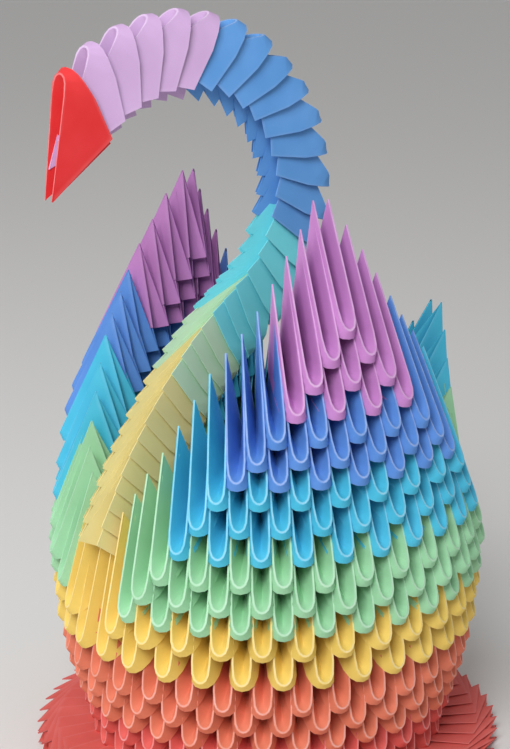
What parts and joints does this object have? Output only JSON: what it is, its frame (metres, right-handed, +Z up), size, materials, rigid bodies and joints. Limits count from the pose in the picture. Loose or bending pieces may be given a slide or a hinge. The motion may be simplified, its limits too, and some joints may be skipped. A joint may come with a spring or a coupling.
{
  "type": "folded paper swan",
  "caption": "Rainbow swan made of about 530 folded paper triangles pushed into each other in rows, with raised wings, a pointed tail and a hooked neck, on a flat coral-red ring of the same folded units.",
  "frame": {"origin": "centre of the stand ring on the table plane", "axes": "+Z up, -Y toward the swan's front, +X toward its left wing"},
  "size_m": [0.1132, 0.1139, 0.1775],
  "materials": {
    "coral_paper": "matte",
    "orange_paper": "matte",
    "yellow_paper": "matte",
    "green_paper": "matte",
    "cyan_paper": "matte",
    "blue_paper": "matte",
    "violet_paper": "matte",
    "neck_yellow_paper": "matte",
    "neck_green_paper": "matte",
    "neck_cyan_paper": "matte",
    "neck_blue_paper": "matte",
    "lilac_paper": "matte",
    "red_paper": "matte"
  },
  "bodies": {
    "root": {"body_row_01": "coral_paper", "body_row_02": "coral_paper", "body_row_03": "orange_paper", "body_row_04": "orange_paper", "body_row_05": "orange_paper", "body_row_06": "yellow_paper", "body_row_07": "yellow_paper", "head": "red_paper", "neck_blue": "neck_blue_paper", "neck_cyan": "neck_cyan_paper", "neck_green": "neck_green_paper", "neck_lilac": "lilac_paper", "neck_yellow": "neck_yellow_paper", "stand_ring": "coral_paper", "tail_row_08": "green_paper", "tail_row_09": "green_paper", "tail_row_10": "green_paper", "tail_row_11": "cyan_paper", "tail_row_12": "cyan_paper", "tail_row_13": "cyan_paper", "wing_left_row_08": "green_paper", "wing_left_row_09": "green_paper", "wing_left_row_10": "green_paper", "wing_left_row_11": "cyan_paper", "wing_left_row_12": "cyan_paper", "wing_left_row_13": "cyan_paper", "wing_left_row_14": "blue_paper", "wing_left_row_15": "blue_paper", "wing_left_row_16": "blue_paper", "wing_left_row_17": "violet_paper", "wing_left_row_18": "violet_paper", "wing_left_row_19": "violet_paper", "wing_left_row_20": "violet_paper", "wing_right_row_08": "green_paper", "wing_right_row_09": "green_paper", "wing_right_row_10": "green_paper", "wing_right_row_11": "cyan_paper", "wing_right_row_12": "cyan_paper", "wing_right_row_13": "cyan_paper", "wing_right_row_14": "blue_paper", "wing_right_row_15": "blue_paper", "wing_right_row_16": "blue_paper", "wing_right_row_17": "violet_paper", "wing_right_row_18": "violet_paper", "wing_right_row_19": "violet_paper", "wing_right_row_20": "violet_paper"}
  },
  "joints": []
}
